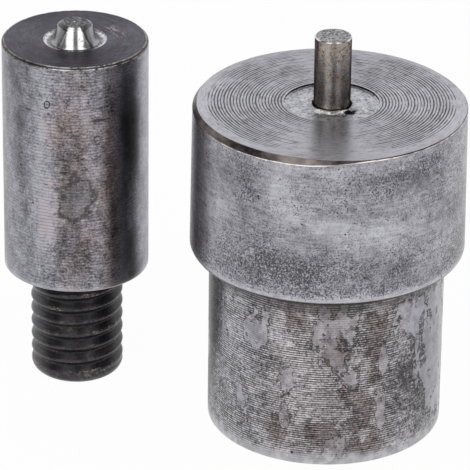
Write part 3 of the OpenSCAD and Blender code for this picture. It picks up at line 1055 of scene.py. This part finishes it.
def punchProfile(p):
    r, faceZ, lowZ, holeZ = p["r"], p["tipZ"] - p["nibH"], p["seatingZ"], p["holeTopZ"]
    c, s, soft = p["faceChamfer"], p["seatingChamfer"], p["edgeSoft"]
    neckR, neckZ = p["tipR"] + p["bevelW"], p["tipZ"] - p["bevelH"]
    floorZ = faceZ - p["grooveDepth"]
    wallR, lipR = p["grooveR"] - p["grooveDepth"], p["grooveR"] + p["grooveLip"]
    # the cone of the nib leans out and flares into the floor of the groove
    nib = []
    for i in range(21):
        z = floorZ + (neckZ - floorZ) * i / 20
        flare = p["flare"] * math.exp(-(z - floorZ) / p["flareFade"])
        nib.append((neckR + p["nibLean"] * (neckZ - z) + flare, z, 0.0))
    drillZ = holeZ + p["drillRunout"]
    pointZ = drillZ + p["drillR"] / math.tan(math.radians(p["drillPoint"] / 2))
    return runs((0, pointZ), [
        ("hole", 4, 0.15, (p["drillR"], drillZ), 3),
        ("hole", 4, 0.15, (p["drillR"], holeZ)),
        ("hole", 4, 0.15, (p["holeR"], holeZ)),
        ("hole", 4, 0.15, (p["holeR"], lowZ), 4),
        ("seating", 4, 0.6, (r - s, lowZ), 5),
        ("seatingEdge", 1, 1, rounded((r - s, lowZ + s), s, -90, 0, 4)),
        ("side", 1, 1, (r, faceZ - c - soft), 80),
        ("faceEdge", 3, 2, (r, faceZ - c)),
        ("faceEdge", 3, 2, (r - c, faceZ), 6),
        ("faceEdge", 3, 2, (r - c - soft, faceZ)),
        ("face", 0, 1.3, toolMarks((r - c - soft, faceZ), (lipR, faceZ), p["ringPitch"])),
        ("curl", 6, 2, (p["grooveR"], faceZ)),
        ("curl", 6, 2, rounded((wallR, faceZ), p["grooveDepth"], 0, -90, 8)),
        ("curl", 6, 2, nib[0][:2], 2),
        ("nib", 2, 2, nib[1:]),
        ("bevel", 2, 2, straight((neckR, neckZ), (p["tipR"], p["tipZ"]), 5)),
        ("tip", 5, 2, (0, p["tipZ"]), 12),
    ])


def shapePunch(zones, r, z, groove, theta):
    p = punch
    at, turn, x, y = surface(zones, r, theta)
    field = partial(randomField, x, y, z)
    skin = field((0.5, 0.35), 2, 33.0)
    r[at["side"]] += 0.004 * skin[at["side"]]
    rng = np.random.default_rng(11)
    ringNoise = field((2.0, 2.0), 2, 52.4)
    groove = groove * (0.2 + 0.8 * rng.random(len(r)))[:, None] * (0.7 + 0.8 * ringNoise)
    z[at["face"]] -= p["ringDepth"] * groove[at["face"]]
    # nicked edge of the working face, with a painted highlight along both corners, strongest at the
    # front, and dark between them
    nick = randomField(np.cos(theta) * 6, np.sin(theta) * 6, theta * 0, (0.45, 1), 3, 8.0)
    i = at["faceEdge"]
    share = (p["r"] - r[i]) / p["faceChamfer"]
    r[i] -= 0.03 * np.maximum(0, nick - 0.25)
    z[i] -= 0.02 * np.maximum(0, nick - 0.15)
    rub = np.zeros_like(r)
    rub[i] = np.maximum(smoothStep(0.3 - share, 0, 0.2), smoothStep(share, 0.72, 0.9))
    rub[i] *= (0.95 + 0.5 * nick) * (0.3 + 0.7 * facing(turn[i], 281, 44, 16))
    tipRows = at["tip"][:-1]
    z[tipRows] -= 0.01 * np.abs(skin[tipRows]) + 0.01 * np.sin(r[tipRows] * 16) ** 2
    # painted reflections: light and dark streaks down the nib
    foot = np.clip((p["tipZ"] - p["bevelH"] - z) / (p["nibH"] - p["bevelH"]), 0, 1)
    fan = angleGap(turn, 270) / (p["fan"][0] + p["fan"][1] * foot)
    fan = fan + 2.5 * field((0.5, 0.5), 2, 4.4)
    streak = np.full(r.shape, 0.47)
    for start, stop, bright in nibStreaks:
        inside = smoothStep(fan, start - 2, start + 2) * (1 - smoothStep(fan, stop - 2, stop + 2))
        streak += (bright - streak) * inside
    # the bevel keeps the painted reflections at the front and is painted darker to the sides
    streak[at["bevel"]] *= 0.35 + 0.65 * smoothStep(np.abs(angleGap(turn[at["bevel"]], 272)), 50, 30)
    # painted highlight on the lip of the groove, painted shade on its floor
    i = at["curl"]
    streak[i] = smoothStep(r[i], p["grooveR"] - 0.36, p["grooveR"] - 0.18) * (0.75 + 0.5 * skin[i])
    cloud = field((2.6, 4.5), 4, 15.0)
    wobble = field((0.8, 0.8), 4, 71.5)
    rim = bell(z, p["seatingZ"], 0.45) * smoothStep(r, p["r"] - 0.3, p["r"] - 0.1)
    tone = 0.5 + 0.25 * cloud + spotTone(turn, z, sideSpots) + 0.35 * rim
    i = at["face"]
    tone[i] = 0.5 + spotTone(turn[i], r[i], punchFaceSpots)
    bite = 0.5 + 0.5 * smoothStep(turn, 222, 250) - 0.7 * smoothStep(turn, 298, 314)
    bite = bite + 0.25 * cloud - 0.4 * rim
    blotch = markField(turn, z, sideBlotches) + 0.5 * wobble
    pock = markField(turn, z, sidePocks) + 0.75 * wobble
    film = spotTone(turn, z, brownFilms) * (0.8 + 0.5 * cloud)
    scratch = markField(turn, z, sideScratches) + 0.4 * wobble
    tan = smoothStep(markField(turn, z, tannedPlaces) + 0.35 * cloud, -0.1, 0.7)
    scuff = facing(turn, 26, 24, 12) * bell(r, 3.75, 0.5) * (0.9 + wobble)
    return {"groove": groove, "tone": tone, "bite": bite, "blotch": blotch, "pock": pock,
            "scratch": scratch, "tan": tan, "film": film, "rub": rub, "scuff": scuff, "streak": streak}


def blueFace():
    f = Steel("blue_face", 0.5)
    fine = f.ringNoise(6.0, 7.0, 3, 0.65)
    soft = f.noise(0.5, 3, 0.6)
    tone = f.blend(0.5, (fine, 1.8), (soft, 0.8), (f.field("tone"), 1.0))
    f.colour = f.tint(f.step(tone, 0.0, 1.0), (0.036, 0.0345, 0.045), (0.168, 0.161, 0.204))
    warm = f.step(f.ringNoise(1.6, 1.8, 2, 0.6), 0.5, 0.62, 0, 0.7)
    f.coat(warm, (1.0, 0.82, 0.82), way="MULTIPLY")
    f.coat(f.step(f.field("groove"), 0.1, 0.8, 0, 0.6), (0.03, 0.029, 0.033))
    scuff = f.times(f.field("scuff"), f.step(fine, 0.45, 0.6))
    f.coat(f.times(scuff, 0.9, clamp=True), (0.42, 0.41, 0.45))
    return f.doneByGrain(fine, 0.4, 0.52, 0.004)


def tarnishedSide(p):
    f = Steel("tarnished_side", 0.6)
    grain = f.noise(5.6, 3, 0.7)
    coarse = f.noise(1.1, 3, 0.6)
    fine = f.ringNoise(11.0, 8.0, 3, 0.65)
    upright = f.ringNoise(9.0, 0.4, 3, 0.6)
    blotch = f.blend(f.field("blotch"), (grain, 0.8))
    scratch = f.blend(f.field("scratch"), (grain, 0.8))
    texture = f.blend(0.0, (grain, 1.7), (fine, 1.1), (coarse, 0.9), (upright, 0.6))
    tone = f.math("MULTIPLY_ADD", texture, f.field("bite"), f.field("tone"))
    lit = f.tint(f.step(tone, -0.05, 1.1), (0.05, 0.048, 0.051), (0.5, 0.495, 0.522))
    hue = f.step(f.ringNoise(5.0, 0.3, 3, 0.6), 0.38, 0.6)
    hue = f.tint(hue, (0.99, 0.93, 0.95), (0.98, 0.86, 0.79))
    lit = f.tint(f.field("tan"), f.tint(1.0, lit, (0.97, 0.98, 1.03), "MULTIPLY"), hue, "MULTIPLY")
    lit = f.tint(f.field("film"), lit, (0.66, 0.52, 0.44), "MULTIPLY")
    ring = f.band(blotch, -0.08, 0.3, 0.1)
    f.colour = f.tint(f.step(blotch, 0.0, 0.3, 0, 0.5), lit, (0.13, 0.124, 0.13))
    f.coat(ring, (0.05, 0.047, 0.048), 0.7)
    f.coat(f.step(scratch, 0.1, 0.4, 0, 0.8), (0.04, 0.037, 0.037))
    f.coat(f.band(f.field("pock"), 0.1, 0.45, 0.1), (0.025, 0.022, 0.022))
    lines = f.times(f.turnedLines(p["linePitch"], 0.6, 0.16), f.field("bite"), clamp=True)
    f.coat(lines, (0.05, 0.045, 0.044), 0.5)
    glint = f.times(f.step(fine, 0.62, 0.7), f.field("bite"), clamp=True)
    f.coat(glint, (0.62, 0.6, 0.59), 0.6)
    f.coat(f.spots(0.9, 0.12, 0.14), (0.03, 0.027, 0.027))
    return f.doneByGrain(grain, 0.38, 0.28, 0.008)


def polishedNib():
    f = Steel("polished_nib", 0.5)
    streak = f.field("streak")
    fine = f.ringNoise(2.0, 9.0, 2, 0.6)
    tinted = f.tint(f.noise(1.2, 2), (0.05, 0.04, 0.035), (0.05, 0.05, 0.062))
    # colour from the painted reflections of the streak field
    f.colour = f.tint(f.step(streak, 0.05, 0.45), tinted, (0.34, 0.34, 0.365))
    f.coat(f.step(streak, 0.5, 0.95), (0.93, 0.92, 0.92))
    f.coat(f.step(fine, 0.44, 0.3, 0, 0.7), (0.3, 0.29, 0.29))
    f.coat(f.spots(1.9, 0.2, 0.16), (0.05, 0.045, 0.045))
    return f.doneByGrain(fine, 0.26, 0.18, 0.004)


def curlFloor():
    f = Steel("curl_floor", 0.0)
    grain = f.noise(3.4, 3, 0.7)
    # painted shade on the floor of the groove, and a painted highlight on its lip
    floor = f.tint(f.step(grain, 0.38, 0.64), (0.1, 0.098, 0.105), (0.38, 0.38, 0.41))
    lip = f.times(f.field("streak"), f.step(grain, 0.36, 0.52, 0.35, 1), clamp=True)
    f.colour = f.tint(lip, floor, (0.9, 0.9, 0.91))
    return f.doneByGrain(grain, 0.3, 0.16, 0.014)


def brightEdge():
    f = Steel("bright_edge", 0.0)
    grain = f.noise(2.4, 3, 0.65)
    # painted highlight along the corners of the chamfer, over wear
    worn = f.times(f.field("rub"), f.step(grain, 0.34, 0.56), clamp=True)
    f.colour = f.tint(worn, (0.07, 0.06, 0.056), (0.92, 0.905, 0.9))
    return f.doneByGrain(grain, 0.42, 0.32, 0.008)


def darkTip():
    f = Steel("dark_tip", 0.0)
    grain = f.noise(4.0, 3, 0.65)
    f.colour = f.tint(f.step(grain, 0.38, 0.62), (0.04, 0.037, 0.038), (0.2, 0.2, 0.21))
    f.coat(f.spots(1.6, 0.16, 0.12), (0.85, 0.85, 0.87))
    return f.doneByGrain(grain, 0.38, 0.26, 0.012)


punchFinishes = [blueFace(), tarnishedSide(punch), polishedNib(), brightEdge(), inner, darkTip(),
                 curlFloor()]
punchMesh = latheMesh("punch_body_turned", punchProfile(punch), punch["columns"], shapePunch, False)
addPiece(punchMesh, punchAxis, punchFinishes, punch["sharpAngle"], "punch", "punch_body")

stud = {
    "crestR": (studHigh[0] - studLow[0]) / 2,
    "pitch": 1.25,
    "threadDepth": 0.36,
    "crestRound": 1.0,
    "lowZ": studLow[2],
    "highZ": studHigh[2],
    "lowEndR": 3.0,
    "highEndR": 3.1,
    "plainEnd": 0.7,
    "socket": 4.0,
    "socketDepth": 4.5,
    "socketTurn": 5.0,
    "start": 0.19,
    "stepsPerTurn": 14,
    "columns": 96,
    "sharpAngle": 42,
}
studMesh = threadMesh("mounting_stud_threaded", stud)
addPiece(studMesh, punchAxis, [blacked], stud["sharpAngle"], "punch", "mounting_stud")


# Stage: pale floor, white paper behind, two tall soft panels in front that lean over the table, camera

stage = {
    "floorR": 1.6,  # metres
    "floorZ": -0.02 * mm,
    "floorColour": (0.92, 0.92, 0.92, 1),
    "whiteShare": 0.97,  # how far the floor shows plain white to the camera and in the steel
    "room": 0.1,
    "backdrop": 0.95,
    "backdropTop": (0.85, 0.62),  # sine of the height where it ends and where it is full
    "panel": 1.3,
    "panelLean": 0.47,  # how far the panels close in overhead
    "leftPanel": (-0.79, -0.14),  # sine of the angle from the camera, left negative
    "rightPanel": (0.33, 0.81),
    "panelEdge": 0.06,
    "panelFront": (0.3, 0.0),  # y of the direction where they end and where they are full
    "backdropDepth": (0.0, 0.35),  # y where the paper begins and where it is full
    "sideGlow": 0.45,
    "sideEdge": (0.82, 0.97),  # x, left or right, between which it comes in
}


def studioWorld(s):
    scene.world = bpy.data.worlds.new("studio")
    scene.world.use_nodes = True
    n = Nodes(scene.world.node_tree)
    x, y, z = n.parts(n.add("ShaderNodeTexCoord").outputs["Generated"])
    across = n.math("DIVIDE", x, n.math("MULTIPLY_ADD", z, -s["panelLean"], 1.0))
    left = n.band(across, *s["leftPanel"], s["panelEdge"])
    right = n.band(across, *s["rightPanel"], s["panelEdge"])
    panels = n.times(n.plus(left, right), n.step(y, *s["panelFront"], 0, s["panel"]))
    paper = n.times(n.step(y, *s["backdropDepth"], 0, s["backdrop"]), n.step(z, *s["backdropTop"]))
    sides = n.step(n.math("ABSOLUTE", x), *s["sideEdge"], 0, s["sideGlow"])
    light = n.most(n.most(panels, paper), n.most(sides, s["room"]))
    toCamera = n.add("ShaderNodeLightPath").outputs["Is Camera Ray"]
    back = n.tree.nodes["Background"]
    back.inputs["Color"].default_value = (1, 1, 1, 1)
    strength = n.math("MULTIPLY_ADD", toCamera, n.math("SUBTRACT", 1.0, light), light)
    n.wire(strength, back.inputs["Strength"])


def paleFloor(s):
    disc = bmesh.new()
    bmesh.ops.create_circle(disc, cap_ends=True, radius=s["floorR"], segments=96)
    mesh = bpy.data.meshes.new("floor")
    disc.to_mesh(mesh)
    disc.free()
    floor = bpy.data.objects.new("floor", mesh)
    scene.collection.objects.link(floor)
    floor.location.z = s["floorZ"]
    paper = bpy.data.materials.new("white_paper")
    paper.use_nodes = True
    n = Nodes(paper.node_tree)
    n.tree.nodes.clear()
    matt = n.add("ShaderNodeBsdfDiffuse")
    matt.inputs["Color"].default_value = s["floorColour"]
    path = n.add("ShaderNodeLightPath").outputs
    rays = n.most(n.most(path["Is Camera Ray"], path["Is Glossy Ray"]), path["Is Transmission Ray"])
    mix = n.add("ShaderNodeMixShader")
    n.wire(n.times(rays, s["whiteShare"]), mix.inputs[0])
    n.wire(matt.outputs[0], mix.inputs[1])
    n.wire(n.add("ShaderNodeEmission").outputs[0], mix.inputs[2])
    n.wire(mix.outputs[0], n.add("ShaderNodeOutputMaterial").inputs["Surface"])
    mesh.materials.append(paper)


view = {
    "target": (-0.00781, 0.0, 0.01665),
    "distance": 0.35,
    "pitch": 26.4,  # degrees down
    "roll": 0.68,
    "focalPx": 4132.0,  # focal length in pixels
    "picturePx": 470.0,  # of a picture this wide
    "sensor": 36.0,
    "clip": (0.01, 10),  # metres
}


def setCamera(v):
    data = bpy.data.cameras.new("camera")
    data.sensor_width = v["sensor"]
    data.lens = v["sensor"] * v["focalPx"] / v["picturePx"]
    data.clip_start, data.clip_end = v["clip"]
    camera = bpy.data.objects.new("camera", data)
    scene.collection.objects.link(camera)
    pitch = math.radians(v["pitch"])
    back = Vector((0, -math.cos(pitch), math.sin(pitch)))
    turn = Matrix.Rotation(math.pi / 2 - pitch, 4, "X") @ Matrix.Rotation(math.radians(v["roll"]), 4, "Z")
    camera.matrix_world = Matrix.Translation(Vector(v["target"]) + back * v["distance"]) @ turn
    scene.camera = camera


studioWorld(stage)
paleFloor(stage)
setCamera(view)
scene.view_settings.view_transform = "Standard"
print("stage and camera set")
